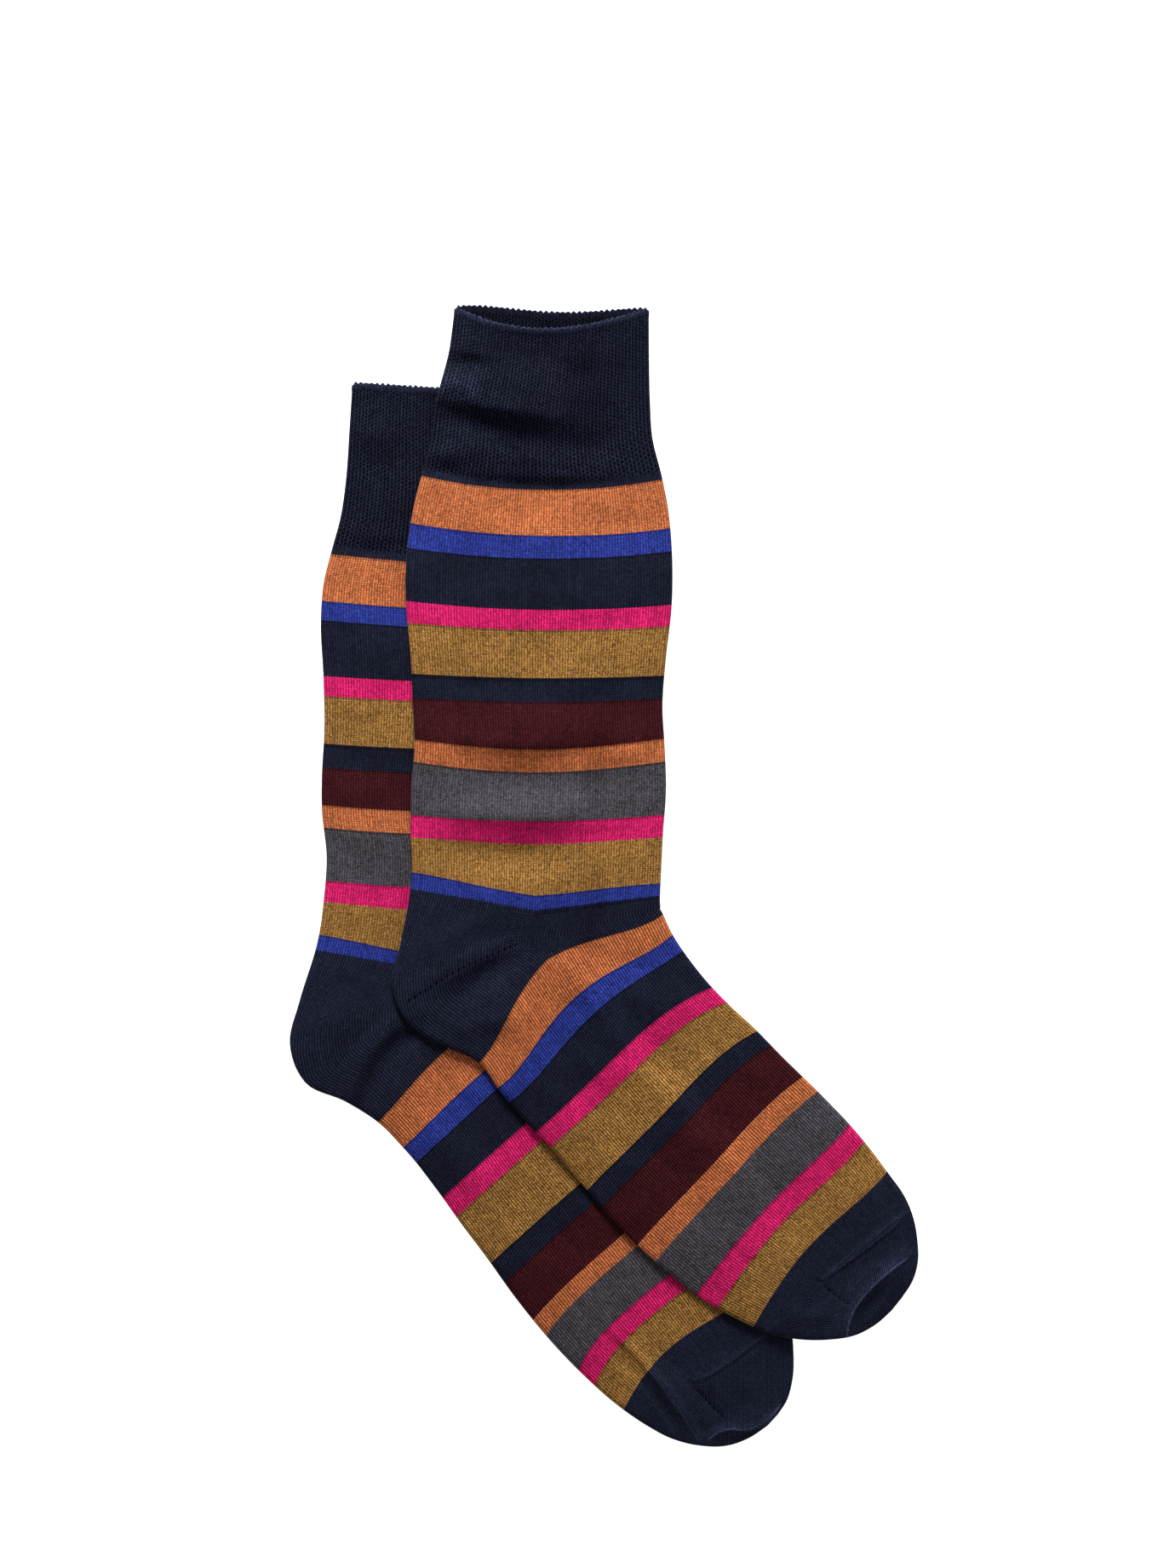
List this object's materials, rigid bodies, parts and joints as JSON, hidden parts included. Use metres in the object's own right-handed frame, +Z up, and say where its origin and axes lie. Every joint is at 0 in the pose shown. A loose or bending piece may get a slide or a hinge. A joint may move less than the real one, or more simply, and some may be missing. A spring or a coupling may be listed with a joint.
{
  "type": "pair of socks",
  "caption": "Two long knitted socks laid flat, one lying across the other, with ribbed cuffs, short-row heels and linked toes.",
  "frame": {"origin": "centre of the pair's bounding box, on the surface that the socks lie on", "axes": "+Z up from that surface, +Y towards the cuffs, +X towards the toes' side"},
  "size_m": [0.2512, 0.4552, 0.0115],
  "materials": {
    "upper_sock_knit": "matte knit",
    "lower_sock_knit": "matte knit"
  },
  "bodies": {
    "root": {"upper_sock": "upper_sock_knit", "lower_sock": "lower_sock_knit"}
  },
  "joints": []
}
